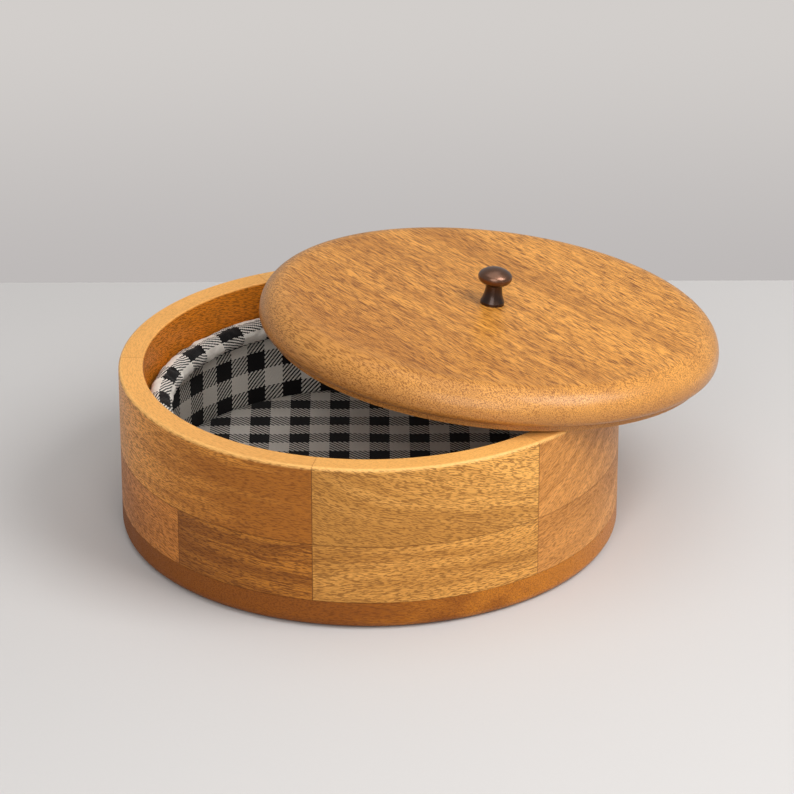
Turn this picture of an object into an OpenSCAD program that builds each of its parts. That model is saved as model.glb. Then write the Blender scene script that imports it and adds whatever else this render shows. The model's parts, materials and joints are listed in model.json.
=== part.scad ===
// Round bread box turned from glued hardwood blocks, with a loose lid and a cloth liner.
// Millimetres, +Z up, origin at the middle of the underside of the base, front towards -Y.
// The lid lies as it is left when the box is opened: slid aside until its free side drops.

/* [Box] */
// Outer diameter of the box
box_d = 254; // [220:1:320]
// Height of the box without its lid
box_h = 86.5; // [76:0.5:120]
// Thickness of the wall
wall_t = 12.5; // [8:0.5:16]
// Height of the base band that shows under the wall
base_band_h = 14.5; // [8:0.5:18]
// Height of the tongue on the base that the wall fits round
base_tongue_h = 3; // [1.5:0.5:6]
// Radius of the rounded lower edge of the base
base_round = 5; // [1:0.5:7]
// Height of the lower course of wall blocks
lower_course_h = 30.5; // [20:0.5:40]
// Radius of the rim's rounded outer edge
rim_outer_round = 1.5; // [0.5:0.1:4]
// Radius of the rim's rounded inner edge
rim_inner_round = 1; // [0.5:0.1:3]
// Thickness of a glue line between two pieces of wood
glue_line = 0.15; // [0.05:0.05:0.3]

/* [Lid] */
// Thickness of the lid at its edge
lid_t = 18; // [17:0.5:24]
// How far the shut lid reaches over the rim
lid_overlap = 3.5; // [3:0.5:8]
// Radius of the lid's rounded upper edge
lid_top_round = 13; // [6:0.5:13]
// Radius of the lid's rounded lower edge
lid_low_round = 4; // [1:0.5:6]
// Depth of the turned hollow under the lid
lid_hollow_h = 3.5; // [2:0.5:5]
// Height of the locating lip under the lid
lip_h = 3.5; // [2:0.5:5]
// Width of the locating lip
lip_w = 2; // [1.5:0.5:4]
// Clearance between the locating lip and the wall when the lid is shut
lip_clearance = 2; // [1:0.5:5]
// Direction in which the lid is slid, from +X
lid_slide_angle = 20; // [-180:1:180]
// How far the lid is slid past the point where its free side drops
lid_slide_extra = 2.5; // [1:0.5:8]
// Clearance between the resting lid and the rim
rest_gap = 0.15; // [0.1:0.05:0.6]

/* [Knob] */
// Height of the knob
knob_h = 19.5; // [17:0.5:30]
// Diameter of the knob's head
knob_head_d = 17.4; // [14:0.2:26]
// Height of the knob's head
knob_head_h = 10; // [7:0.5:11]
// Diameter of the knob's neck
knob_neck_d = 8.4; // [7.4:0.2:11]
// Diameter of the knob's flared foot
knob_foot_d = 12.4; // [11.6:0.2:18]
// Height of the straight edge of the knob's foot
knob_foot_h = 1.4; // [0.6:0.2:3]
// Diameter of the knob's screw
screw_d = 4; // [3:0.5:5]
// Length of screw inside the knob
screw_grip = 8; // [5:0.5:11]
// Diameter of the screw's head
screw_head_d = 8; // [7:0.5:10]
// Height of the screw's head
screw_head_h = 2.4; // [1.5:0.1:3.5]
// Diameter of the washer under the screw's head
washer_d = 10; // [9:0.5:14]
// Thickness of the washer
washer_t = 1; // [0.6:0.1:2]

/* [Cloth liner] */
// Thickness of the liner's quilted cloth
cloth_t = 3; // [1.5:0.5:4]
// Diameter of the stuffed roll along the liner's edge
roll_d = 15; // [12:0.5:20]
// Depth of the roll's top below the rim
roll_drop = 15.5; // [8:0.5:20]
// Clearance between the liner and the wood
liner_gap = 0.3; // [0.2:0.1:1]

/* [Hidden] */
$fn = 96;

// Box
box_r = box_d / 2;
inner_r = box_r - wall_t;
floor_z = base_band_h + base_tongue_h;
lower_z = base_band_h + glue_line;
lower_top_z = base_band_h + lower_course_h;
upper_z = lower_top_z + glue_line;
// Where the blocks of each course meet, in degrees round from the front towards the right
lower_joint_angles = [-48, -12.7, 40.5, 95, 138, 190, 250];
upper_joint_angles = [-12.7, 40.5, 102, 152, 208, 268];
front_angle = -90;

// Lid, in its own frame: the middle of its lower face is the origin
lid_r = inner_r + lid_overlap;
lip_r = inner_r - lip_clearance;
hollow_r = lip_r - lip_w;
lip_step = lip_h + lid_hollow_h;

// Pose of the lid: the lip stands on the rim where the two circles cross, and the hollow's roof
// comes down on the outer edge of the rim further out
lid_slide = sqrt(pow(box_r, 2) - pow(hollow_r, 2)) + lid_slide_extra;
cross_u = (pow(box_r, 2) - pow(hollow_r, 2) + pow(lid_slide, 2)) / (2 * lid_slide);
lid_tilt = asin(lip_step / (box_r - cross_u));
hollow_rest_z = box_h + (box_r - lid_slide) * tan(lid_tilt) + rest_gap;

// Knob and its screw
thread_gap = 0.05;
screw_hole_gap = 0.4;
head_recess_gap = 1;
head_recess_d = washer_d + 2 * head_recess_gap;
head_recess_h = washer_t + screw_head_h;
washer_z = lid_hollow_h + screw_head_h;
screw_slot_w = 1;
screw_slot_h = screw_head_h / 2;
knob_neck_sink = 0.6;
knob_edge_share = 0.62;

// Cloth liner
liner_r = inner_r - liner_gap;
liner_z = floor_z + liner_gap;
seam_gap = 0.1;
roll_r = roll_d / 2;
roll_z = box_h - roll_drop - roll_r;
roll_seat_share = 0.7;
liner_top_z = roll_z - roll_seat_share * roll_r;

// What is left outside a quarter circle in the corner of a square
module corner(r) {
    difference() {
        square(r);
        translate([r, r]) circle(r);
    }
}

// A ring's section from r1 to r2 and z1 to z2, with the edges named rounded
module ring_section(r1, r2, z1, z2, low_out = 0, top_out = 0, top_in = 0) {
    difference() {
        translate([r1, z1]) square([r2 - r1, z2 - z1]);
        if (low_out > 0) translate([r2, z1]) mirror([1, 0]) corner(low_out);
        if (top_out > 0) translate([r2, z2]) rotate(180) corner(top_out);
        if (top_in > 0) translate([r1, z2]) mirror([0, 1]) corner(top_in);
    }
}

// Base: a turned disc whose tongue locates the wall
module base_disc() {
    color("#95582a") rotate_extrude() {
        ring_section(0, box_r, 0, base_band_h, low_out = base_round);
        square([inner_r - glue_line, floor_z]);
    }
}

// One block of a course, from its joint i to the next, with half a glue line left at each end
module wall_block(joint_angles, i) {
    start = joint_angles[i];
    end = i + 1 < len(joint_angles) ? joint_angles[i + 1] : joint_angles[0] + 360;
    glue_angle = glue_line / box_r * 180 / PI;
    rotate(front_angle + start + glue_angle / 2)
        rotate_extrude(angle = end - start - glue_angle) children();
}

module lower_block(i) {
    color("#b57a3e") wall_block(lower_joint_angles, i) ring_section(inner_r, box_r, lower_z, lower_top_z);
}

module upper_block(i) {
    color("#c58b46") wall_block(upper_joint_angles, i)
        ring_section(inner_r, box_r, upper_z, box_h, top_out = rim_outer_round, top_in = rim_inner_round);
}

// Puts what is modelled in the lid's own frame where the lid lies
module on_resting_lid() {
    rotate(lid_slide_angle) translate([lid_slide, 0, hollow_rest_z]) rotate([0, lid_tilt, 0])
        rotate(-lid_slide_angle) translate([0, 0, -lid_hollow_h]) children();
}

// Lid: turned from one panel, with a locating lip and a hollow underneath
module lid_panel() {
    color("#c48748") on_resting_lid() difference() {
        union() {
            rotate_extrude()
                ring_section(0, lid_r, 0, lid_t, low_out = lid_low_round, top_out = lid_top_round);
            translate([0, 0, -lip_h]) cylinder(r = lip_r, h = lip_step);
        }
        translate([0, 0, -2 * lip_h]) cylinder(r = hollow_r, h = 2 * lip_h + lid_hollow_h);
        cylinder(d = head_recess_d, h = lid_hollow_h + head_recess_h);
        cylinder(d = screw_d + 2 * screw_hole_gap, h = 2 * lid_t);
    }
}

// Cast knob: flared foot, waisted neck and mushroom head, with a blind threaded hole
module knob() {
    foot_r = knob_foot_d / 2;
    neck_r = knob_neck_d / 2;
    neck_top = knob_h - knob_head_h + knob_neck_sink;
    rise = neck_top - knob_foot_h;
    run = foot_r - neck_r;
    waist_r = (pow(rise, 2) + pow(run, 2)) / (2 * run);
    color("#4a2f22") on_resting_lid() translate([0, 0, lid_t]) difference() {
        union() {
            cylinder(r = foot_r, h = knob_foot_h);
            rotate_extrude() difference() {
                translate([0, knob_foot_h]) square([foot_r, rise]);
                translate([neck_r + waist_r, neck_top]) circle(waist_r);
            }
            translate([0, 0, knob_h - knob_head_h / 2]) knob_head(knob_head_d / 2, knob_head_h / 2);
        }
        translate([0, 0, -screw_grip]) cylinder(d = screw_d + 2 * thread_gap, h = 2 * screw_grip + 1);
    }
}

// Mushroom head: two spherical caps that run into one rounded rim
module knob_head(head_r, half_h) {
    edge_r = half_h * knob_edge_share;
    rim_r = head_r - edge_r;
    cap_r = (pow(rim_r, 2) + pow(half_h, 2) - pow(edge_r, 2)) / (2 * (half_h - edge_r));
    cap_z = half_h - cap_r;
    join_r = rim_r * cap_r / (cap_r - edge_r);
    rotate_extrude() {
        intersection() {
            translate([0, cap_z]) circle(cap_r);
            translate([0, -cap_z]) circle(cap_r);
            translate([0, -half_h]) square([join_r, 2 * half_h]);
        }
        translate([rim_r, 0]) circle(edge_r);
    }
}

// Slotted machine screw that holds the knob from under the lid
module knob_screw() {
    color("#8c8f94") on_resting_lid() translate([0, 0, washer_z]) difference() {
        union() {
            cylinder(d = screw_d, h = lid_t - washer_z + screw_grip);
            translate([0, 0, -screw_head_h]) cylinder(d = screw_head_d, h = screw_head_h);
        }
        translate([-screw_head_d, -screw_slot_w / 2, -screw_head_h - screw_slot_h])
            cube([2 * screw_head_d, screw_slot_w, 2 * screw_slot_h]);
    }
}

module knob_washer() {
    color("#9a9da2") on_resting_lid() translate([0, 0, washer_z]) difference() {
        cylinder(d = washer_d, h = washer_t);
        translate([0, 0, -washer_t]) cylinder(d = screw_d + 2 * thread_gap, h = 3 * washer_t);
    }
}

// Floor of the liner, a round of quilted cloth
module liner_floor() {
    color("#3a3838") translate([0, 0, liner_z]) cylinder(r = liner_r - cloth_t - seam_gap, h = cloth_t);
}

// Side of the liner, standing against the wall
module liner_side() {
    color("#4a4646") rotate_extrude() translate([liner_r - cloth_t, liner_z])
        square([cloth_t, liner_top_z - liner_z]);
}

// Stuffed roll sewn along the top of the liner's side
module liner_roll() {
    color("#d8d2cc") rotate_extrude() difference() {
        translate([liner_r - roll_r, roll_z]) circle(roll_r);
        translate([liner_r - roll_d, liner_top_z - roll_d]) square(roll_d);
    }
}

base_disc();
for (i = [0:len(lower_joint_angles) - 1])
    lower_block(i);
for (i = [0:len(upper_joint_angles) - 1])
    upper_block(i);
lid_panel();
knob();
knob_screw();
knob_washer();
liner_floor();
liner_side();
liner_roll();
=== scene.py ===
"""Dresses the round bread box: hardwood blocks, a turned lid, a bronze knob and a checked liner."""

from __future__ import annotations

import json
import logging
import math
from dataclasses import dataclass
from enum import Enum
from typing import Any

import bpy
import numpy as np
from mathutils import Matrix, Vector

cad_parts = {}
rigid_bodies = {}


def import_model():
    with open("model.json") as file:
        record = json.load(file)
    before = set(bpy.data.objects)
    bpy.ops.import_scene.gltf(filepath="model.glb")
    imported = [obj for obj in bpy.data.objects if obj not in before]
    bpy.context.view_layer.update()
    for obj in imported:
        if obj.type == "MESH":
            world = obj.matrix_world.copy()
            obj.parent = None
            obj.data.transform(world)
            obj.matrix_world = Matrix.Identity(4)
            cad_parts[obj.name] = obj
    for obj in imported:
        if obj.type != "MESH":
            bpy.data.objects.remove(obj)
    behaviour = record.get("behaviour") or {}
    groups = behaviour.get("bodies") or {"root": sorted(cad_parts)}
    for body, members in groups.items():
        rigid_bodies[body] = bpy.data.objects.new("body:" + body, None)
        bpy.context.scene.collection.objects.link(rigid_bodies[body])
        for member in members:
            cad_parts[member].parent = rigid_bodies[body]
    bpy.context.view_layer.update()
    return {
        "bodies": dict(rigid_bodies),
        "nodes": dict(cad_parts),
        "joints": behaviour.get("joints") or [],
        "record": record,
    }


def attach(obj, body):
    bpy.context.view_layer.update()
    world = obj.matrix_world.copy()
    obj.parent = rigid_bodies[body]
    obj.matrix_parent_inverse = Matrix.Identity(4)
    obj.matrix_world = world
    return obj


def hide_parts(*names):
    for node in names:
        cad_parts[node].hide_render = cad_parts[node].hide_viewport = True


LOG = logging.getLogger("bread_box")
MM_PER_M = 1000.0
TAU = 2.0 * math.pi


def linear(code: str) -> tuple[float, float, float, float]:
    """Turns a screen colour into the linear values that a shader takes.

    Args:
        code: The colour as "#rrggbb".

    Returns:
        Linear red, green and blue, and an alpha of 1.
    """
    shares = [int(code[i:i + 2], 16) / 255.0 for i in (1, 3, 5)]
    red, green, blue = (s / 12.92 if s <= 0.04045 else ((s + 0.055) / 1.055) ** 2.4 for s in shares)
    return red, green, blue, 1.0


@dataclass(frozen=True)
class Signal:
    """A socket that carries a value over a surface: operators on it add Math nodes."""

    graph: Graph
    socket: bpy.types.NodeSocket | None

    def math(self, operation: str, *others: Signal | float, clamp: bool = False) -> Signal:
        """Adds a Math node whose first input is this value.

        Args:
            operation: The Math node's operation.
            others: The node's further inputs.
            clamp: Whether the result is held between 0 and 1.

        Returns:
            The node's result.
        """
        settings = {"operation": operation, "use_clamp": clamp}
        return self.graph.node("ShaderNodeMath", settings, dict(enumerate((self, *others))))

    def __add__(self, other: Signal | float) -> Signal:
        """Sum."""
        return self.math("ADD", other)

    __radd__ = __add__

    def __sub__(self, other: Signal | float) -> Signal:
        """Difference."""
        return self.math("SUBTRACT", other)

    def __rsub__(self, other: float) -> Signal:
        """Difference from a number."""
        return self.graph.node("ShaderNodeMath", {"operation": "SUBTRACT"}, {0: other, 1: self})

    def __mul__(self, other: Signal | float) -> Signal:
        """Product."""
        return self.math("MULTIPLY", other)

    __rmul__ = __mul__

    def __truediv__(self, other: Signal | float) -> Signal:
        """Quotient."""
        return self.math("DIVIDE", other)

    def __mod__(self, other: Signal | float) -> Signal:
        """Remainder, never negative."""
        return self.math("FLOORED_MODULO", other)

    def __lt__(self, other: Signal | float) -> Signal:
        """1 where this is less, and 0 elsewhere."""
        return self.math("LESS_THAN", other)

    def floor(self) -> Signal:
        """The whole number below."""
        return self.math("FLOOR")

    def sine(self) -> Signal:
        """The sine, of radians."""
        return self.math("SINE")

    def root(self) -> Signal:
        """The square root."""
        return self.math("SQRT")

    def ease(self, low: float, high: float) -> Signal:
        """Rises smoothly from 0 at low to 1 at high.

        Args:
            low: The value that gives 0.
            high: The value that gives 1.

        Returns:
            The eased value.
        """
        settings = {"interpolation_type": "SMOOTHSTEP"}
        return self.graph.node("ShaderNodeMapRange", settings, {0: self, 1: low, 2: high, 3: 0.0, 4: 1.0})


class Graph:
    """The nodes of one material or world."""

    def __init__(self, tree: bpy.types.NodeTree) -> None:
        """Starts an empty graph.

        Args:
            tree: The tree that the nodes go into.
        """
        self.tree = tree
        tree.nodes.clear()

    def node(
        self,
        kind: str,
        settings: dict[str, Any] | None = None,
        inputs: dict[int | str, Any] | None = None,
        output: int | str = 0,
    ) -> Signal:
        """Makes a node, sets it up and joins it to what feeds it.

        Args:
            kind: The node's type.
            settings: The node's own properties, set first.
            inputs: A number, colour, vector or signal for each socket named or numbered.
            output: Which of the node's outputs is wanted.

        Returns:
            That output, or an empty signal for a node without outputs.
        """
        made = self.tree.nodes.new(kind)
        for name, value in (settings or {}).items():
            setattr(made, name, value)
        for key, value in (inputs or {}).items():
            if isinstance(value, Signal):
                self.tree.links.new(value.socket, made.inputs[key])
            else:
                made.inputs[key].default_value = value
        return Signal(self, made.outputs[output] if len(made.outputs) else None)

    def noise(self, x: Signal, y: Signal, z: Signal, detail: float, roughness: float = 0.5) -> Signal:
        """Smooth noise at a place, from 0 to 1.

        Args:
            x: First coordinate, in noise cells.
            y: Second coordinate, in noise cells.
            z: Third coordinate, in noise cells.
            detail: How many finer layers are added.
            roughness: How strong each finer layer is.

        Returns:
            The noise.
        """
        place = self.node("ShaderNodeCombineXYZ", inputs={0: x, 1: y, 2: z})
        inputs = {"Vector": place, "Scale": 1.0, "Detail": detail, "Roughness": roughness}
        return self.node("ShaderNodeTexNoise", {"noise_dimensions": "3D"}, inputs)

    def blend(self, share: Signal, first: Any, second: Any) -> Signal:
        """Mixes two colours.

        Args:
            share: 0 for the first colour, 1 for the second.
            first: A colour or a signal.
            second: A colour or a signal.

        Returns:
            The mixed colour.
        """
        settings = {"data_type": "RGBA", "blend_type": "MIX"}
        return self.node("ShaderNodeMix", settings, {0: share, 6: first, 7: second}, output=2)

    def measure(self, place: Signal, direction: np.ndarray) -> Signal:
        """How far a place lies along a direction, in millimetres.

        Args:
            place: The place, in metres.
            direction: The direction, of unit length.

        Returns:
            The distance.
        """
        axis = tuple(float(c) * MM_PER_M for c in direction)
        inputs = {0: place, 1: axis}
        return self.node("ShaderNodeVectorMath", {"operation": "DOT_PRODUCT"}, inputs, output="Value")

    def spot(self) -> tuple[Signal, ...]:
        """The place on the object, as x, y and z in millimetres."""
        place = self.node("ShaderNodeTexCoord", output="Object")
        return tuple(self.measure(place, axis) for axis in np.eye(3))

    def parts(self, vector: Signal) -> tuple[Signal, ...]:
        """A vector's x, y and z."""
        split = self.node("ShaderNodeSeparateXYZ", inputs={0: vector})
        return tuple(Signal(self, socket) for socket in split.socket.node.outputs)

    def bump(self, height: Signal, strength: float, distance_mm: float) -> Signal:
        """The surface's normal, tilted by a height.

        Args:
            height: The height, from 0 to 1.
            strength: How much of the effect is used.
            distance_mm: How high a height of 1 stands.

        Returns:
            The normal.
        """
        inputs = {"Strength": strength, "Distance": distance_mm / MM_PER_M, "Height": height}
        return self.node("ShaderNodeBump", inputs=inputs)

    def surface(self, **sockets: Any) -> None:
        """Ends the graph in a principled shader.

        Args:
            sockets: Its sockets by name, with underscores for spaces.
        """
        inputs = {name.replace("_", " "): value for name, value in sockets.items()}
        shader = self.node("ShaderNodeBsdfPrincipled", inputs=inputs)
        self.node("ShaderNodeOutputMaterial", inputs={"Surface": shader})


def new_material(name: str) -> tuple[bpy.types.Material, Graph]:
    """Makes a material with an empty graph.

    Args:
        name: The material's name.

    Returns:
        The material and its graph.
    """
    material = bpy.data.materials.new(name)
    material.use_nodes = True
    return material, Graph(material.node_tree)


class Tone(Enum):
    """Mean colours of the woods."""

    HONEY = "#d4984b"
    WHEAT = "#cc8f43"
    AMBER = "#d48b36"
    CARAMEL = "#cf8d47"
    TAN = "#c88f4a"
    BROWN = "#a8671f"
    ROSE = "#c57a2f"
    UMBER = "#ae6819"
    TEAK = "#dc943b"
    SANDED = "#d49040"


@dataclass(frozen=True)
class Timber:
    """A piece of wood: its colours, and how it was cut from the log.

    The wood is a solid pattern. Growth rings lie round a pith line beside the piece, broad tone bands
    and fine fibres run along the grain, and pores are thin dark dashes in it. Some wood has dark streaks.
    A wall's grain follows it round. The wall is pale on its sanded rim, and palest on the rim's outer
    arris, which is partly worn and partly a painted highlight.
    It is warmer on its inner face and darker along its glue lines. A lid's edge is paler and greyer with
    painted sheen, and its foot darker with painted shade.

    The tone leans by some share in 100 mm along the grain, and across it. A wall is given by its inner
    radius, its outer radius and its top, and its glue lines by a block's left end, right end, foot and top.
    """

    name: str
    tone: Tone
    grain: np.ndarray
    face: np.ndarray
    middle: np.ndarray
    shift_mm: float
    band_mm: tuple[float, float] = (70.0, 9.0)
    pore_mm: float = 3.2
    fibre_mm: float = 30.0
    ring_share: float = 0.08
    depth: float = 1.0
    lean: tuple[float, float] = (0.0, 0.0)
    wall: tuple[float, float, float] | None = None
    glue_mm: tuple[float, float, float, float] | None = None
    edge_mm: tuple[float, float] | None = None
    shaded_foot_mm: tuple[float, float] | None = None
    ripple_mm: float = 1.2
    pore_cover: float = 0.70
    pores_per_mm: float = 2.2
    streaks: float = 0.0
    contrast: float = 0.8
    roughness: float = 0.32
    polish: float = 0.03

    PITH_MM = (-70.0, 50.0)
    RING_MM = 9.0
    RING_SWAY = 9.0
    LEAN_MM = 100.0
    SWAY_MM = 9.0
    SWAY_OUT_MM = 3.6
    SWAYS_PER_MM = (0.011, 0.025)
    RIPPLES_PER_MM = (0.10, 0.07)
    BAND_SHARE = 1.5
    FIBRES_PER_MM = 1.1
    FIBRE_NOISE = (4.0, 0.72)
    FIBRE_SHARE = 1.3
    DASH_NOISE = (1.0, 0.6)
    PORE_EASE = (0.47, 0.60)
    STREAK_MM = 26.0
    STREAKS_PER_MM = 0.8
    STREAK_EASE = (0.50, 0.64)
    TONE_EASE = (0.05, 0.95)
    INNER_MM = 0.8
    SANDED_MM = (1.4, 0.2)
    SANDED_SHARE = 0.8
    SANDED_PORES = 0.7
    WEAR_AND_HIGHLIGHT_DOWN_MM = (2.2, 0.8)
    WEAR_AND_HIGHLIGHT_IN_MM = (2.0, 0.9)
    WEAR_AND_HIGHLIGHT_SHARE = 0.6
    GLUE_MM = 0.55
    GLUE_SHARE = 0.36
    SANDED_GLUE = 0.24
    EDGE_SHEEN_SHARE = 0.6
    EDGE_PORES = 0.25
    FOOT_SHADE_SHARE = 0.8
    FIBRE_RELIEF = 0.5
    RELIEF = (0.5, 0.12)
    ROUGH_DEEP = 0.10
    ROUGH_PORES = 0.15
    SPECULAR = 0.25
    COAT_ROUGHNESS = 0.30
    PALE = np.array([1.36, 1.42, 1.50, 1.0])
    DEEP = np.array([0.82, 0.76, 0.62, 1.0])
    PORE = np.array([0.29, 0.21, 0.14, 1.0])
    RIM = np.array([1.36, 1.62, 2.40, 1.0])
    EDGE_SHEEN = np.array([0.96, 1.12, 2.10, 1.0])
    INSIDE = np.array([1.08, 0.84, 0.42, 1.0])
    ARRIS_WEAR_AND_HIGHLIGHT = np.array([1.55, 2.00, 3.40, 1.0])
    FOOT_SHADE = np.array([0.66, 0.66, 0.95, 1.0])

    def axes(self) -> tuple[np.ndarray, np.ndarray, np.ndarray]:
        """The wood's own directions.

        Returns:
            Along the grain, across it and out of the face.
        """
        face = self.face / np.linalg.norm(self.face)
        grain = self.grain - face * float(self.grain @ face)
        grain = grain / np.linalg.norm(grain)
        return grain, np.cross(face, grain), face

    def round_axes(self) -> tuple[np.ndarray, np.ndarray, np.ndarray]:
        """A wall block's own directions: to its right, outwards and up."""
        face, up = self.axes()[2], np.array([0.0, 0.0, 1.0])
        return np.cross(up, face), face, up

    def colour(self, share: np.ndarray, tone: Tone | None = None) -> np.ndarray:
        """A share of the wood's mean colour, or of another tone's, in linear values."""
        return np.clip(np.array(linear((tone or self.tone).value)) * share, 0.0, 1.0)

    def spot(self, graph: Graph, place: Signal) -> tuple[Signal, ...]:
        """Where a place lies in the wood, in millimetres.

        Args:
            graph: The material's graph.
            place: The place, in metres.

        Returns:
            How far along the grain, across it and out, which in a wall is the radius.
        """
        grain, across, face = self.axes()
        if self.wall is None:
            return tuple(graph.measure(place, axis) for axis in (grain, across, face))
        right, _, up = self.round_axes()
        arc, z, radius = self.bend(graph, place)
        flat = (arc * float(axis @ right) + z * float(axis @ up) for axis in (grain, across))
        return *flat, radius

    def bend(self, graph: Graph, place: Signal) -> tuple[Signal, Signal, Signal]:
        """Where a place lies in a wall, in millimetres.

        Args:
            graph: The material's graph.
            place: The place, in metres.

        Returns:
            How far round the outside from the block's middle, how high, and how far from the axis.
        """
        x, y, z = (graph.measure(place, axis) for axis in self.round_axes())
        return x.math("ARCTAN2", y) * self.wall[1], z, (x * x + y * y).root()

    def offset(self, along: Signal, across: Signal) -> tuple[Signal, Signal]:
        """How far along the grain and across it a place lies from the wood's middle, in millimetres."""
        end, side = (float(self.middle @ axis) * MM_PER_M for axis in self.axes()[:2])
        return along - end, across - side

    def seam(self, arc: Signal, z: Signal) -> Signal:
        """The glue lines: 1 at a block's glued edges, falling to 0 a little way in.

        Args:
            arc: How far round the place lies.
            z: How high it lies.

        Returns:
            The share of glue.
        """
        left, right, foot, top = self.glue_mm
        ends = (arc - left).math("MINIMUM", right - arc)
        beds = (z - foot).math("MINIMUM", top - z)
        return 1.0 - ends.math("MINIMUM", beds).ease(0.0, self.GLUE_MM)

    def figure(
        self, graph: Graph, along: Signal, across: Signal, out: Signal
    ) -> tuple[Signal, Signal, Signal]:
        """Draws the wood's figure: rings, bands, fibres, streaks and pores.

        Args:
            graph: The material's graph.
            along: How far along the grain a place lies, in millimetres.
            across: How far across the grain.
            out: How far out.

        Returns:
            The tone, about 0 where the wood is deep and 1 where it is pale, the fibres and the pores.
        """
        beyond, over = self.offset(along, across)
        lean = beyond * (self.lean[0] / self.LEAN_MM) + over * (self.lean[1] / self.LEAN_MM)
        along = along + self.shift_mm
        ends, sides = self.SWAYS_PER_MM
        sway = graph.noise(along * ends, across * sides, out * sides, 1.0) - 0.5
        ends, sides = self.RIPPLES_PER_MM
        ripple = graph.noise(along * ends, across * sides, out * sides, 0.0) - 0.5
        across = across + sway * self.SWAY_MM + ripple * self.ripple_mm + self.shift_mm
        out = out + sway * self.SWAY_OUT_MM
        beside, above = across - (self.PITH_MM[0] + self.shift_mm), out - self.PITH_MM[1]
        ring = (beside * beside + above * above).root()
        rings = (ring * (TAU / self.RING_MM) + sway * self.RING_SWAY).sine()
        length, width = self.band_mm
        bands = graph.noise(along / length, across / width, out / width, 1.0) - 0.5
        fine, close, far = self.FIBRES_PER_MM, self.pores_per_mm, self.STREAKS_PER_MM
        fibres = graph.noise(along / self.fibre_mm, across * fine, out * fine, *self.FIBRE_NOISE) - 0.5
        dashes = graph.noise(along / self.pore_mm, across * close, out * close, *self.DASH_NOISE)
        figured = (bands * self.BAND_SHARE + fibres * self.FIBRE_SHARE) * self.contrast
        shade = figured + rings * self.ring_share + lean + 0.5
        if self.streaks:
            lines = graph.noise(along / self.STREAK_MM, across * far, out * far, *self.DASH_NOISE)
            shade = shade - lines.ease(*self.STREAK_EASE) * self.streaks
        return shade, fibres, dashes.ease(*self.PORE_EASE)

    def finish_wall(
        self, graph: Graph, place: Signal, ground: Signal, pores: Signal
    ) -> tuple[Signal, Signal, Signal]:
        """Finishes a wall: a warm inner face, a sanded rim whose arris is partly worn and partly a painted
        highlight, and glue lines.

        Args:
            graph: The material's graph.
            place: The place, in metres.
            ground: The wood's colour between its pores.
            pores: The pores.

        Returns:
            The finished colour, the pores that still show and the share of glue.
        """
        inner, outer, top = self.wall
        arc, z, radius = self.bend(graph, place)
        inside = 1.0 - radius.ease(inner, inner + self.INNER_MM)
        ground = graph.blend(inside, ground, self.colour(self.INSIDE))
        sanded = z.ease(*(top - drop for drop in self.SANDED_MM))
        ground = graph.blend(sanded * self.SANDED_SHARE, ground, self.colour(self.RIM, Tone.SANDED))
        # The rim's outer arris is paler: partly wear, partly a painted highlight standing in for light on
        # the edge.
        high = z.ease(*(top - drop for drop in self.WEAR_AND_HIGHLIGHT_DOWN_MM))
        wide = radius.ease(*(outer - gap for gap in self.WEAR_AND_HIGHLIGHT_IN_MM))
        ground = graph.blend(high * wide * self.WEAR_AND_HIGHLIGHT_SHARE, ground, self.colour(self.ARRIS_WEAR_AND_HIGHLIGHT, Tone.SANDED))
        glue = self.seam(arc, z) * (self.GLUE_SHARE - sanded * self.SANDED_GLUE)
        return ground, pores * (1.0 - sanded * self.SANDED_PORES), glue

    def finish_lid(
        self, graph: Graph, spot: tuple[Signal, ...], ground: Signal, pores: Signal
    ) -> tuple[Signal, Signal]:
        """Finishes a lid: an edge paled by painted sheen and a foot darkened by painted shade.

        Args:
            graph: The material's graph.
            spot: How far along the grain, across it and out a place lies, in millimetres.
            ground: The wood's colour between its pores.
            pores: The pores.

        Returns:
            The finished colour and the pores that still show.
        """
        beyond, over = self.offset(*spot[:2])
        outside = (beyond * beyond + over * over).root().ease(*self.edge_mm)
        # The edge turns paler and greyer as a painted sheen.
        ground = graph.blend(outside * self.EDGE_SHEEN_SHARE, ground, self.colour(self.EDGE_SHEEN))
        # The lid's lower part, under its rounded edge, is darkened as painted shade.
        low = self.FOOT_SHADE_SHARE - spot[2].ease(*self.shaded_foot_mm) * self.FOOT_SHADE_SHARE
        ground = graph.blend(low, ground, self.colour(self.FOOT_SHADE))
        return ground, pores * (1.0 - outside * self.EDGE_PORES)

    def material(self) -> bpy.types.Material:
        """Builds the wood's material.

        Returns:
            The material, on Object coordinates.
        """
        material, graph = new_material(self.name)
        place = graph.node("ShaderNodeTexCoord", output="Object")
        spot = self.spot(graph, place)
        shade, fibres, pores = self.figure(graph, *spot)
        deep, pale, pore = (self.colour(share) for share in (self.DEEP ** self.depth, self.PALE, self.PORE))
        ground = graph.blend(shade.ease(*self.TONE_EASE), deep, pale)
        glue = None
        if self.wall:
            ground, pores, glue = self.finish_wall(graph, place, ground, pores)
        if self.edge_mm:
            ground, pores = self.finish_lid(graph, spot, ground, pores)
        colour = graph.blend(pores * self.pore_cover, ground, pore)
        if glue is not None:
            colour = graph.blend(glue, colour, pore)
        normal = graph.bump(fibres * self.FIBRE_RELIEF - pores, *self.RELIEF)
        rough = (1.0 - shade) * self.ROUGH_DEEP + pores * self.ROUGH_PORES + self.roughness
        coat = {"Coat_Weight": self.polish, "Coat_Roughness": self.COAT_ROUGHNESS}
        graph.surface(
            Base_Color=colour, Roughness=rough, Normal=normal, Specular_IOR_Level=self.SPECULAR, **coat
        )
        return material


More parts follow.
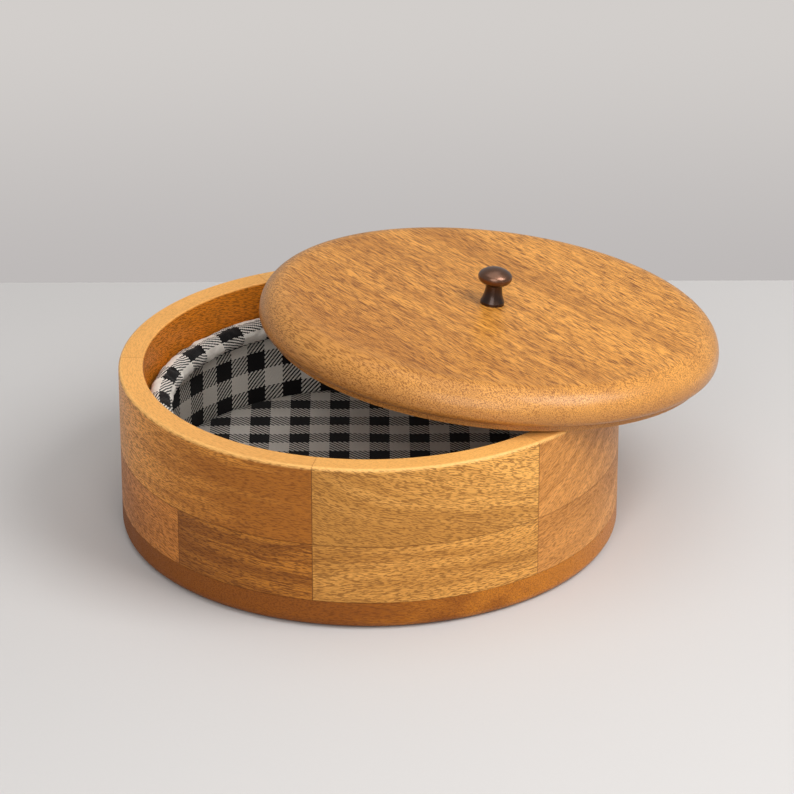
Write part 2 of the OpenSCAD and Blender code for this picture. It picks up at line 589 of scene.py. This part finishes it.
@dataclass(frozen=True)
class Bronze:
    """Dark antique bronze: brown metal with a mottled patina, worn off towards the top; the dark neck is
    partly patina and partly painted shade.
    """

    name: str
    wear_and_shade_mm: tuple[float, float]
    metal: str = "#7d5640"
    patina: str = "#3d281c"

    MOTTLES_PER_MM = 0.16
    MOTTLE_EASE = (0.25, 0.75)
    GRAINS_PER_MM = 5.0
    RELIEF = (0.15, 0.05)
    WEAR_AND_SHADE_LEAST = 0.7
    WEAR_AND_SHADE_MOTTLE = 0.6
    ROUGHNESS = 0.38
    ROUGH_MOTTLE = 0.08
    ROUGH_GRAIN = 0.05
    COAT = 0.7
    COAT_ROUGHNESS = 0.22

    def material(self) -> bpy.types.Material:
        """Builds the bronze, mottled by noise on Object coordinates.

        Returns:
            The material.
        """
        material, graph = new_material(self.name)
        spot = graph.spot()
        mottle = graph.noise(*(c * self.MOTTLES_PER_MM for c in spot), 3.0).ease(*self.MOTTLE_EASE)
        grain = graph.noise(*(c * self.GRAINS_PER_MM for c in spot), 2.0)
        # Darker towards the neck: partly patina in the recess, partly painted shade under the head.
        wear_and_shade = spot[2].ease(*self.wear_and_shade_mm) * (mottle * self.WEAR_AND_SHADE_MOTTLE + self.WEAR_AND_SHADE_LEAST)
        colour = graph.blend(wear_and_shade, linear(self.patina), linear(self.metal))
        normal = graph.bump(grain, *self.RELIEF)
        rough = self.ROUGHNESS - mottle * self.ROUGH_MOTTLE + grain * self.ROUGH_GRAIN
        lacquer = {"Coat_Weight": self.COAT, "Coat_Roughness": self.COAT_ROUGHNESS}
        graph.surface(Base_Color=colour, Metallic=1.0, Roughness=rough, Normal=normal, **lacquer)
        return material


@dataclass(frozen=True)
class Steel:
    """Plated steel with turning marks round an axis."""

    name: str
    centre: np.ndarray
    bright: str = "#a9abae"
    dull: str = "#8d8f92"

    MARKS_PER_MM = (9.0, 4.0, 0.5)
    SPOTS_PER_MM = 0.8
    RELIEF = (0.2, 0.03)
    ROUGHNESS = 0.22
    ROUGH_MARKS = 0.25

    def material(self) -> bpy.types.Material:
        """Builds the steel, with fine rings round its centre.

        Returns:
            The material.
        """
        material, graph = new_material(self.name)
        x, y, z = graph.spot()
        beside, behind = x - float(self.centre[0]) * MM_PER_M, y - float(self.centre[1]) * MM_PER_M
        radius = (beside * beside + behind * behind).root()
        out, up, slow = self.MARKS_PER_MM
        marks = graph.noise(radius * out, z * up, radius * slow, 2.0)
        spots = graph.noise(*(c * self.SPOTS_PER_MM for c in (x, y, z)), 2.0)
        colour = graph.blend(spots, linear(self.dull), linear(self.bright))
        normal = graph.bump(marks, *self.RELIEF)
        rough = marks * self.ROUGH_MARKS + self.ROUGHNESS
        graph.surface(Base_Color=colour, Metallic=1.0, Roughness=rough, Normal=normal)
        return material


@dataclass(frozen=True)
class Gingham:
    """Cotton woven from dark and white threads in equal stripes both ways.

    The piece's own UV map counts checks.
    """

    name: str
    threads: int = 16
    white: str = "#f6efe4"
    dark: str = "#121011"
    shade_and_fade: str = "#2b2827"

    UV_MAP = "checks"
    TWILL = 2.0
    FUZZ_CELLS = (0.9, 0.1)
    FADE_CELLS = (0.05, 0.01)
    GAP_EASE = (0.2, 1.0)
    GAP_SHARE = 0.22
    FADE_SHARE = 0.08
    RELIEF = (0.5, 0.25)
    THREAD_RELIEF = 0.8
    FUZZ_RELIEF = 0.3
    ROUGHNESS = 0.82
    ROUGH_FUZZ = 0.1
    DULL = {"Specular_IOR_Level": 0.15, "Sheen_Weight": 0.08, "Sheen_Roughness": 0.5}

    def material(self) -> bpy.types.Material:
        """Builds the cloth, thread by thread.

        Returns:
            The material.
        """
        material, graph = new_material(self.name)
        spot = graph.node("ShaderNodeUVMap", {"uv_map": self.UV_MAP})
        stripe = float(self.threads)
        warp_at, weft_at = (part * stripe for part in graph.parts(spot)[:2])
        warp, weft = warp_at.floor(), weft_at.floor()
        dark_warp, dark_weft = ((number % (2.0 * stripe)) < stripe for number in (warp, weft))
        over = ((warp + weft) % (2.0 * self.TWILL)) < self.TWILL
        dark = over * dark_warp + (1.0 - over) * dark_weft
        warp_off, weft_off = warp_at - warp - 0.5, weft_at - weft - 0.5
        round_warp, round_weft = (1.0 - off * off * 4.0 for off in (warp_off, weft_off))
        thread = over * round_warp + (1.0 - over) * round_weft
        fine, slow = self.FUZZ_CELLS
        fuzz = graph.noise(warp_at * fine, weft_at * fine, warp_at * slow, 2.0)
        fine, slow = self.FADE_CELLS
        fade = graph.noise(warp_at * fine, weft_at * fine, weft_at * slow, 2.0)
        cloth = graph.blend(dark, linear(self.white), linear(self.dark))
        # Gaps between threads get painted shade; fuzz and fade darken the cloth at random.
        gaps = (1.0 - thread).ease(*self.GAP_EASE) * self.GAP_SHARE
        gap_shade_and_fade = gaps + (fuzz * self.FADE_SHARE + fade * self.FADE_SHARE)
        colour = graph.blend(gap_shade_and_fade, cloth, linear(self.shade_and_fade))
        height = thread * self.THREAD_RELIEF + fuzz * self.FUZZ_RELIEF
        normal = graph.bump(height, *self.RELIEF)
        rough = fuzz * self.ROUGH_FUZZ + self.ROUGHNESS
        graph.surface(Base_Color=colour, Roughness=rough, Normal=normal, **self.DULL)
        return material


def grid_mesh(
    name: str, points: np.ndarray, checks: np.ndarray, wraps: tuple[bool, bool]
) -> bpy.types.Object:
    """Makes a piece from a grid of points, in whole arrays.

    Args:
        name: The piece's name.
        points: Places in metres, as rows by columns by 3, turning so that faces look outwards.
        checks: Cloth coordinates at each grid corner, one more row or column where the grid wraps.
        wraps: Whether the last row joins the first, and the last column the first.

    Returns:
        The piece, at the origin.
    """
    rows, columns = points.shape[:2]
    row = np.arange(rows if wraps[0] else rows - 1)
    column = np.arange(columns if wraps[1] else columns - 1)
    i, j = (a.ravel() for a in np.meshgrid(row, column, indexing="ij"))
    corners = [(i, j), (i + 1, j), (i + 1, j + 1), (i, j + 1)]
    faces = np.stack([(a % rows) * columns + b % columns for a, b in corners], axis=-1)
    mesh = bpy.data.meshes.new(name)
    mesh.from_pydata(points.reshape(-1, 3), [], faces)
    layer = mesh.uv_layers.new(name=Gingham.UV_MAP)
    uv = np.stack([checks[a, b] for a, b in corners], axis=1).reshape(-1, 2)
    layer.data.foreach_set("uv", uv.astype(np.float32).ravel())
    mesh.polygons.foreach_set("use_smooth", np.ones(len(mesh.polygons), dtype=bool))
    mesh.update()
    piece = bpy.data.objects.new(name, mesh)
    bpy.context.scene.collection.objects.link(piece)
    return piece


def vertices(node: bpy.types.Object) -> np.ndarray:
    """The corner points of a piece, in metres.

    Args:
        node: The piece.

    Returns:
        An array of points by 3.
    """
    flat = np.empty(len(node.data.vertices) * 3, dtype=np.float32)
    node.data.vertices.foreach_get("co", flat)
    return flat.reshape(-1, 3).astype(float)


@dataclass(frozen=True)
class Ring:
    """A turned piece's reach round the box's axis, in metres."""

    inner: float
    outer: float
    low: float
    high: float

    @classmethod
    def of(cls, node: bpy.types.Object) -> Ring:
        """Measures a piece.

        Args:
            node: The piece.

        Returns:
            Its least and greatest radius and height.
        """
        points = vertices(node)
        radius = np.hypot(points[:, 0], points[:, 1])
        reach = (side(values) for values in (radius, points[:, 2]) for side in (np.min, np.max))
        return cls(*(float(value) for value in reach))


def polar(radius: np.ndarray, around: np.ndarray, height: np.ndarray) -> np.ndarray:
    """Points from their radius, angle and height."""
    return np.stack([radius * np.cos(around), radius * np.sin(around), height], axis=-1)


def squared(wave: np.ndarray, power: float) -> np.ndarray:
    """A wave from -1 to 1 with its crests flattened, more so for a lower power."""
    return np.sign(wave) * np.abs(wave) ** power


@dataclass(frozen=True)
class Creases:
    """Soft creases: seeded sine waves round the box, with from least to most crests in a turn."""

    seed: int
    waves: int
    least: int
    most: int

    def heights(self, around: np.ndarray, over: np.ndarray) -> np.ndarray:
        """How high the creases stand.

        Args:
            around: Angle round the box at each point.
            over: Second angle at each point, which the creases slant with.

        Returns:
            Heights of about -1 to 1.
        """
        draw = np.random.default_rng(self.seed)
        crests = draw.integers(self.least, self.most, self.waves)
        slants = draw.integers(-2, 3, self.waves)
        phases = draw.uniform(0.0, TAU, self.waves)
        weights = draw.uniform(0.5, 1.0, self.waves)
        angle = crests * around[..., None] + slants * over[..., None] + phases
        return (np.sin(angle) * weights).sum(-1) / np.sqrt(self.waves)


@dataclass(frozen=True)
class Stuffing:
    """How a cloth tube is stuffed: pressure inside, slack in its cloth and a soft hold to its form."""

    pressure: float = 3.0
    slack: float = 0.07
    hold: float = 0.35
    frames: int = 16
    most_m: float = 0.0008

    def fill(self, piece: bpy.types.Object, sewn: np.ndarray) -> None:
        """Simulates the cloth and keeps its shape in the piece's mesh.

        Args:
            piece: The tube, a closed mesh.
            sewn: Indices of the points that are sewn down.
        """
        start = vertices(piece)
        held = piece.vertex_groups.new(name="held")
        held.add(list(range(len(start))), self.hold, "REPLACE")
        held.add(sewn.tolist(), 1.0, "REPLACE")
        cloth = piece.modifiers.new("stuffing", "CLOTH")
        cloth.collision_settings.use_collision = False
        cloth.settings.effector_weights.gravity = 0.0
        settings = {
            "quality": 6, "mass": 0.05, "use_pressure": True, "uniform_pressure_force": self.pressure,
            "vertex_group_mass": "held", "shrink_min": -self.slack, "shrink_max": -self.slack,
            "tension_stiffness": 15.0, "compression_stiffness": 15.0, "shear_stiffness": 5.0,
            "bending_stiffness": 0.1,
        }
        for name, value in settings.items():
            setattr(cloth.settings, name, value)
        for frame in range(1, self.frames + 1):
            bpy.context.scene.frame_set(frame)
        moved = vertices(piece.evaluated_get(bpy.context.evaluated_depsgraph_get())) - start
        far = np.linalg.norm(moved, axis=1, keepdims=True)
        kept = start + moved * np.minimum(1.0, self.most_m / np.maximum(far, 1e-9))
        piece.modifiers.remove(cloth)
        piece.vertex_groups.clear()
        piece.data.vertices.foreach_set("co", kept.astype(np.float32).ravel())
        piece.data.update()
        bpy.context.scene.frame_set(1)
        LOG.info("%s: cloth moved by %.2f mm at most", piece.name, float(far.max()) * MM_PER_M)


@dataclass
class Liner:
    """The cloth liner: a round floor, a side against the wall and a stuffed roll along its edge."""

    floor: Ring
    side: Ring
    roll: Ring
    body: str = "tub"
    check_m: float = 0.0105
    roll_checks: tuple[int, int] = (44, 6)
    roll_shift: tuple[float, float] = (0.0, 0.5)
    turn_steps: int = 720
    section_steps: int = 48
    ring_steps: int = 64
    roll_steps: tuple[int, int] = (336, 26)
    crease_m: float = 0.00042
    draw_in_m: float = 0.0010
    roll_swell_m: float = 0.0002
    floor_swell_m: float = 0.0003

    ROLL_SWELL = Creases(seed=11, waves=5, least=2, most=7)
    SIDE_CREASES = Creases(seed=23, waves=8, least=9, most=30)
    CLEAR_M = 0.0002
    SEWN_BELOW = -0.62
    SEWN_OUTSIDE = 0.9
    SQUARE_WIDTH = 0.4
    SQUARE_HEIGHT = 0.25
    FLOOR_EDGE = 8
    FLOOR_WAVES = (95.0, 88.0)
    FLOOR_DRIFT = (41.0, 57.0)
    DRIFT_SHARE = 0.5

    def checks_round(self) -> int:
        """How many checks go round the side: an even number, so that the pattern meets itself."""
        return 2 * round(math.pi * self.side.inner / self.check_m)

    def build(self, cloth: bpy.types.Material) -> list[bpy.types.Object]:
        """Makes the three pieces and dresses them.

        Args:
            cloth: The liner's material.

        Returns:
            The pieces.
        """
        pieces = [self.make_roll(), self.make_side(), self.make_floor()]
        for piece, node in zip(pieces, ("liner_roll", "liner_side", "liner_floor")):
            piece.data.materials.append(cloth)
            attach(piece, self.body)
            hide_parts(node)
        return pieces

    def make_roll(self) -> bpy.types.Object:
        """Makes the roll: a round section carried round the box, stuffed, with a row of checks along it.

        Returns:
            The piece.
        """
        turns, sections = self.roll_steps
        turn = np.linspace(0.0, TAU, turns, endpoint=False)
        over = np.linspace(0.0, TAU, sections, endpoint=False)
        around, section = np.meshgrid(turn, over, indexing="ij")
        half = (self.roll.outer - self.roll.inner) / 2.0
        middle_r, middle_z = self.roll.outer - half, self.roll.high - half
        swell = self.ROLL_SWELL.heights(around, np.zeros_like(section)) * self.roll_swell_m
        size = half - self.draw_in_m - np.abs(swell)
        radius, height = middle_r + size * np.cos(section), middle_z + size * np.sin(section)
        points = polar(radius, around, np.maximum(height, self.roll.low + self.draw_in_m))
        share_round = np.linspace(0.0, 1.0, turns + 1)[:, None]
        share_over = np.linspace(0.0, 1.0, sections + 1)[None, :]
        checks_round, checks_over = self.roll_checks
        checks = np.stack(np.broadcast_arrays(share_round * checks_round, share_over * checks_over), -1)
        roll = grid_mesh("liner_roll_cloth", points, checks + np.array(self.roll_shift), (True, True))
        sewn = (np.sin(section) < self.SEWN_BELOW) | (np.cos(section) > self.SEWN_OUTSIDE)
        Stuffing(most_m=self.draw_in_m - self.CLEAR_M).fill(roll, np.flatnonzero(sewn))
        smooth = roll.modifiers.new("smooth", "SUBSURF")
        smooth.levels = smooth.render_levels = 1
        return roll

    def make_side(self) -> bpy.types.Object:
        """Makes the side: a flat rounded section carried round the box, with soft creases inside.

        Returns:
            The piece.
        """
        turn = np.linspace(0.0, TAU, self.turn_steps, endpoint=False)
        over = np.linspace(0.0, TAU, self.section_steps, endpoint=False)
        around, section = np.meshgrid(turn, over, indexing="ij")
        half_r, half_z = (self.side.outer - self.side.inner) / 2.0, (self.side.high - self.side.low) / 2.0
        wide = squared(np.cos(section), self.SQUARE_WIDTH)
        tall = squared(np.sin(section), self.SQUARE_HEIGHT)
        crease = np.clip(-wide, 0.0, 1.0) * self.crease_m * np.abs(self.SIDE_CREASES.heights(around, tall))
        radius = self.side.outer - half_r + (half_r - self.CLEAR_M) * wide + crease
        points = polar(radius, around, self.side.low + half_z + (half_z - self.CLEAR_M) * tall)
        u = np.linspace(0.0, self.checks_round(), self.turn_steps + 1)[:, None]
        v = np.sin(np.linspace(0.0, TAU, self.section_steps + 1))[None, :]
        v = squared(v, self.SQUARE_HEIGHT) * half_z / self.check_m
        checks = np.stack(np.broadcast_arrays(u, v), axis=-1)
        return grid_mesh("liner_side_cloth", points, checks, (True, True))

    def make_floor(self) -> bpy.types.Object:
        """Makes the floor: a thin round pad whose outline turns over at the edge, with a soft swell on top.

        Returns:
            The piece.
        """
        share = np.linspace(-1.0, 1.0, self.ring_steps)
        turn = np.linspace(0.0, TAU, self.turn_steps // 2, endpoint=False)
        around, over = np.meshgrid(turn, share, indexing="ij")
        half = (self.floor.high - self.floor.low) / 2.0
        radius = self.floor.outer * np.cos(over * math.pi / 2.0) ** 0.5
        inside = 1.0 - (radius / self.floor.outer) ** self.FLOOR_EDGE
        rise = half * np.sign(over) * inside ** 0.5
        x, y = radius * np.cos(around), radius * np.sin(around)
        (wave_x, wave_y), (drift_x, drift_y) = self.FLOOR_WAVES, self.FLOOR_DRIFT
        drift = self.DRIFT_SHARE * np.sin(x * drift_x + y * drift_y)
        swell = np.sin(x * wave_x) * np.sin(y * wave_y) + drift
        dip = np.clip(inside, 0.0, 1.0) * self.floor_swell_m * (1.0 + self.DRIFT_SHARE - swell)
        rise = rise - np.where(over > 0.0, dip, 0.0)
        points = np.stack([x, y, self.floor.low + half + rise], axis=-1)
        closed = np.concatenate([points, points[:1]], axis=0)
        return grid_mesh("liner_floor_cloth", points, closed[..., :2] / self.check_m, (True, False))


@dataclass(frozen=True)
class Cut:
    """How one wall block was cut from the log.

    Its grain falls towards the right by some degrees, its growth rings show as a share of its tone, and its
    tone leans by some share in 100 mm from left to right, and from its foot to its top. A depth above 1
    makes its dark parts darker, its pores cover their share of what they cross, its streaks take their
    share off its tone, and its contrast weighs its bands and fibres.
    """

    tone: Tone
    fall: float = 0.0
    rings: float = 0.08
    lean: tuple[float, float] = (0.0, 0.0)
    depth: float = 1.0
    pores: float = 0.70
    streaks: float = 0.0
    contrast: float = 0.8


@dataclass
class Woodwork:
    """The box's wood: the base, two courses of blocks and the lid."""

    nodes: dict[str, bpy.types.Object]
    lid_grain_deg: float = -52.5

    FREE_MM = 5.0
    RIM_MM = 1.0
    BLOCK_LOG_MM = (20.0, 137.0)
    BASE_LOG_MM = 411.0
    BASE_LIGHT_SHIFT_M = 0.05
    LID_LOG_MM = 733.0
    LID_EDGE_MM = (24.0, 1.0)
    LID_SHADED_FOOT_MM = (15.0, 6.0)
    # The lid's lean makes it paler towards the right and back, as painted light.
    LID_CUT = {
        "band_mm": (300.0, 22.0), "pore_mm": 7.5, "fibre_mm": 90.0, "lean": (0.0, 0.22), "ripple_mm": 0.25,
        "pore_cover": 0.92, "pores_per_mm": 2.4, "contrast": 1.2, "polish": 0.45,
    }
    CUTS = {
        "upper_block_1": Cut(Tone.HONEY, 16.0, lean=(0.25, 1.5)),
        "upper_block_2": Cut(Tone.CARAMEL, -30.0, 0.10, lean=(0.0, -0.4), pores=0.54, contrast=0.5),
        "upper_block_3": Cut(Tone.HONEY, 5.0),
        "upper_block_4": Cut(Tone.TAN),
        "upper_block_5": Cut(Tone.AMBER, -7.0),
        "upper_block_6": Cut(Tone.AMBER, 1.0, lean=(-0.8, 0.0), depth=2.3),
        "lower_block_1": Cut(Tone.BROWN, 1.5, 0.2, lean=(0.8, 0.8), depth=1.5, streaks=0.8),
        "lower_block_2": Cut(Tone.WHEAT, lean=(0.2, 0.0)),
        "lower_block_3": Cut(Tone.CARAMEL, -12.0, lean=(0.0, -1.0), pores=0.54, contrast=0.6),
        "lower_block_4": Cut(Tone.TAN, 4.0),
        "lower_block_5": Cut(Tone.BROWN, -5.0),
        "lower_block_6": Cut(Tone.HONEY, 8.0),
        "lower_block_7": Cut(Tone.ROSE, 9.0),
    }

    def dress(self) -> list[bpy.types.Object]:
        """Gives every wooden piece its own wood.

        Returns:
            The pieces.
        """
        finishes = {"base_disc": self.base(), "lid_panel": self.lid()}
        for number, (name, cut) in enumerate(self.CUTS.items()):
            finishes[name] = self.block(name, cut, number)
        for name, finish in finishes.items():
            wear(self.nodes[name], finish.material())
        return [self.nodes[name] for name in finishes]

    def block(self, name: str, cut: Cut, number: int) -> Timber:
        """One wall block's wood, whose grain follows the wall.

        Args:
            name: The block's node.
            cut: How it was cut.
            number: Its place in the wall, which sets what part of the log it came from.

        Returns:
            The wood.
        """
        points = vertices(self.nodes[name])
        middle = points.mean(0)
        out = np.array([middle[0], middle[1], 0.0])
        right = np.array([-middle[1], middle[0], 0.0]) / float(np.hypot(middle[0], middle[1]))
        fall = math.radians(cut.fall)
        grain = right * math.cos(fall) - np.array([0.0, 0.0, math.sin(fall)])
        rim = Ring.of(self.nodes["upper_block_1"])
        wall = (rim.inner * MM_PER_M, rim.outer * MM_PER_M, rim.high * MM_PER_M)
        angle = np.arctan2(points @ right, points @ (out / np.linalg.norm(out)))
        foot, top = (float(h) * MM_PER_M for h in (points[:, 2].min(), points[:, 2].max()))
        ends = (float(angle.min()) * wall[1], float(angle.max()) * wall[1])
        glue = (*ends, foot, top if top < wall[2] - self.RIM_MM else top + self.FREE_MM)
        start, step = self.BLOCK_LOG_MM
        figure = {
            "ring_share": cut.rings, "lean": cut.lean, "depth": cut.depth, "pore_cover": cut.pores,
            "streaks": cut.streaks, "contrast": cut.contrast, "wall": wall, "glue_mm": glue,
        }
        return Timber(f"wood_{name}", cut.tone, grain, out, middle, step * number + start, **figure)

    def base(self) -> Timber:
        """The base's darker wood, with its grain from side to side, and painted light that makes it paler
        towards the right.

        Returns:
            The wood.
        """
        middle = vertices(self.nodes["base_disc"]).mean(0) + np.array([self.BASE_LIGHT_SHIFT_M, 0.0, 0.0])
        grain, face = np.array([1.0, 0.0, 0.0]), np.array([0.0, 0.0, 1.0])
        # The lean and depth paint light from the right: deep on the left, pale on the right.
        cut = {"pore_cover": 0.5, "lean": (0.9, 0.0), "depth": 2.0}
        return Timber("wood_base", Tone.UMBER, grain, face, middle, self.BASE_LOG_MM, **cut)

    def lid(self) -> Timber:
        """The lid's wood, whose grain lies in the plane of the lid.

        Returns:
            The wood.
        """
        points = vertices(self.nodes["lid_panel"])
        middle = points.mean(0)
        normal = np.linalg.svd(points - middle, full_matrices=False)[2][2]
        angle = math.radians(self.lid_grain_deg)
        grain = np.array([math.cos(angle), math.sin(angle), 0.0])
        face = normal * np.sign(normal[2])
        reach = float(np.linalg.norm(points - middle, axis=1).max()) * MM_PER_M
        top = float((points @ face).max()) * MM_PER_M
        edge = tuple(reach - gap for gap in self.LID_EDGE_MM)
        foot = tuple(top - drop for drop in self.LID_SHADED_FOOT_MM)
        shape = {"edge_mm": edge, "shaded_foot_mm": foot}
        return Timber("wood_lid", Tone.TEAK, grain, face, middle, self.LID_LOG_MM, **shape, **self.LID_CUT)


def wear(piece: bpy.types.Object, material: bpy.types.Material) -> None:
    """Puts one material on a piece, in place of what it had."""
    piece.data.materials.clear()
    piece.data.materials.append(material)


@dataclass
class Fittings:
    """The lid's metal: the knob, and the screw and washer under it."""

    nodes: dict[str, bpy.types.Object]

    WEAR_AND_SHADE_FROM = 0.45

    def dress(self) -> list[bpy.types.Object]:
        """Gives the knob bronze, and its fastening steel.

        Returns:
            The pieces.
        """
        heights = vertices(self.nodes["knob"])[:, 2] * MM_PER_M
        low, high = float(heights.min()), float(heights.max())
        wear_and_shade = (low + self.WEAR_AND_SHADE_FROM * (high - low), high)
        wear(self.nodes["knob"], Bronze("knob_bronze", wear_and_shade).material())
        centre = vertices(self.nodes["knob_washer"]).mean(0)
        steel = Steel("plated_steel", centre).material()
        for name in ("knob_screw", "knob_washer"):
            wear(self.nodes[name], steel)
        return [self.nodes[name] for name in ("knob", "knob_screw", "knob_washer")]


class Lamp(Enum):
    """The studio's soft white lamps: place in metres, side in metres and power in watts."""

    KEY = ((0.95, -0.50, 1.20), 0.90, 16.0)
    FRONT = ((-0.08, -1.35, 0.90), 1.00, 9.0)
    SKY = ((0.15, 0.05, 1.50), 1.40, 5.0)


@dataclass
class Studio:
    """A pale floor, a plain backdrop, soft light and the camera at the photographed angle."""

    image_px: float = 794.0
    focal_px: float = 4000.0
    sensor_mm: float = 36.0
    eye: tuple[float, float, float] = (0.0, -1.8455, 0.9242)
    yaw: float = 0.0076
    pitch: float = 0.4353
    floor_back: float = 0.302
    floor_reach: float = 4.0
    floor_colour: str = "#d0cdcb"
    speckle_colour: str = "#aaa8a6"
    backdrop_shaded_low: str = "#bdb9b8"
    backdrop_high: str = "#d2cecb"
    fill: float = 0.36

    SINK_M = 0.0001
    SPECKLES_PER_MM = 0.6
    SPECKLE_SHARE = 0.06
    FLOOR_ROUGHNESS = 0.85
    BACKDROP_RISE = (-0.40, -0.33)
    LAMP_AIM = (0.03, 0.0, 0.05)
    WHITE = (1.0, 1.0, 1.0, 1.0)

    def build(self) -> None:
        """Makes everything round the object."""
        self.make_camera()
        self.make_floor()
        self.make_world()
        for lamp in Lamp:
            self.make_lamp(lamp)

    def make_camera(self) -> None:
        """Sets the camera up from its fitted place, turn and focal length."""
        lens = bpy.data.cameras.new("camera")
        lens.sensor_width = self.sensor_mm
        lens.lens = self.focal_px * self.sensor_mm / self.image_px
        camera = bpy.data.objects.new("camera", lens)
        camera.location = self.eye
        level = math.cos(self.pitch)
        ahead = Vector((math.sin(self.yaw) * level, math.cos(self.yaw) * level, -math.sin(self.pitch)))
        camera.rotation_euler = ahead.to_track_quat("-Z", "Y").to_euler()
        bpy.context.scene.collection.objects.link(camera)
        bpy.context.scene.camera = camera

    def make_floor(self) -> None:
        """Lays the floor, which ends behind the object where the backdrop begins."""
        far, back, sink = self.floor_reach, self.floor_back, -self.SINK_M
        corners = [(-far, -far, sink), (far, -far, sink), (far, back, sink), (-far, back, sink)]
        mesh = bpy.data.meshes.new("studio_floor")
        mesh.from_pydata(corners, [], [(0, 1, 2, 3)])
        floor = bpy.data.objects.new("studio_floor", mesh)
        bpy.context.scene.collection.objects.link(floor)
        material, graph = new_material("studio_floor")
        x, y, z = graph.spot()
        speckle = graph.noise(x * self.SPECKLES_PER_MM, y * self.SPECKLES_PER_MM, z, 3.0)
        share = speckle * self.SPECKLE_SHARE
        colour = graph.blend(share, linear(self.floor_colour), linear(self.speckle_colour))
        graph.surface(Base_Color=colour, Roughness=self.FLOOR_ROUGHNESS)
        mesh.materials.append(material)

    def make_world(self) -> None:
        """Lights the scene evenly, and shows a plain grey backdrop with painted shade that darkens it
        towards the floor.
        """
        world = bpy.data.worlds.new("studio_world")
        bpy.context.scene.world = world
        world.use_nodes = True
        graph = Graph(world.node_tree)
        rise = graph.parts(graph.node("ShaderNodeTexCoord", output="Generated"))[2]
        # The darkening towards the floor's edge is painted shade.
        share = rise.ease(*self.BACKDROP_RISE)
        colour = graph.blend(share, linear(self.backdrop_shaded_low), linear(self.backdrop_high))
        path = graph.node("ShaderNodeLightPath", output="Is Camera Ray")
        shown = graph.node("ShaderNodeBackground", inputs={"Color": colour, "Strength": 1.0})
        light = graph.node("ShaderNodeBackground", inputs={"Color": self.WHITE, "Strength": self.fill})
        mixed = graph.node("ShaderNodeMixShader", inputs={0: path, 1: light, 2: shown})
        graph.node("ShaderNodeOutputWorld", inputs={"Surface": mixed})

    def make_lamp(self, lamp: Lamp) -> None:
        """Hangs one soft square lamp, facing the box.

        Args:
            lamp: Which lamp.
        """
        place, side, power = lamp.value
        light = bpy.data.lights.new(lamp.name.lower(), "AREA")
        light.size, light.energy = side, power
        hung = bpy.data.objects.new(lamp.name.lower(), light)
        hung.location = place
        aim = Vector(self.LAMP_AIM) - Vector(place)
        hung.rotation_euler = aim.to_track_quat("-Z", "Y").to_euler()
        bpy.context.scene.collection.objects.link(hung)


def main() -> None:
    """Loads the frame, dresses the object piece by piece and sets up the studio."""
    logging.basicConfig(level=logging.INFO, format="%(name)s: %(message)s")
    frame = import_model()
    nodes = frame["nodes"]
    bpy.context.scene.view_settings.view_transform = "Standard"
    Studio().build()
    liner = Liner(*(Ring.of(nodes[name]) for name in ("liner_floor", "liner_side", "liner_roll")))
    pieces = Woodwork(nodes).dress() + Fittings(nodes).dress()
    pieces += liner.build(Gingham("gingham_cotton").material())
    for piece in pieces:
        LOG.info("%s: %d faces", piece.name, len(piece.data.polygons))


if __name__ == "__main__":
    main()
